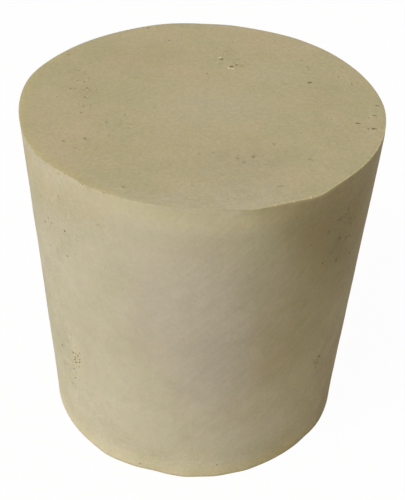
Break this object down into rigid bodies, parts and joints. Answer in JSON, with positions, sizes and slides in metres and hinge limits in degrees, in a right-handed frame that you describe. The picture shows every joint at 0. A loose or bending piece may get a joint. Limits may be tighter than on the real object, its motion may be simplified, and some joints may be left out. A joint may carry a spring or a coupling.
{
  "type": "rubber stopper",
  "caption": "Solid tapered laboratory stopper of pale moulded rubber, with a flat top, a narrower flat base and a knife-trimmed lip at the rim.",
  "frame": {"origin": "centre of the narrow base, on the face that the stopper stands on", "axes": "+Z along the stopper's axis from the narrow base up to the wide top; -Y is the front, and the trimmed lip's sharpest corner lies 56 degrees round from +X towards the front"},
  "size_m": [0.027, 0.0271, 0.0272],
  "materials": {
    "rubber": "matte, faintly bloomed, with fine moulding pits"
  },
  "bodies": {
    "root": {"stopper": "rubber"}
  },
  "joints": []
}
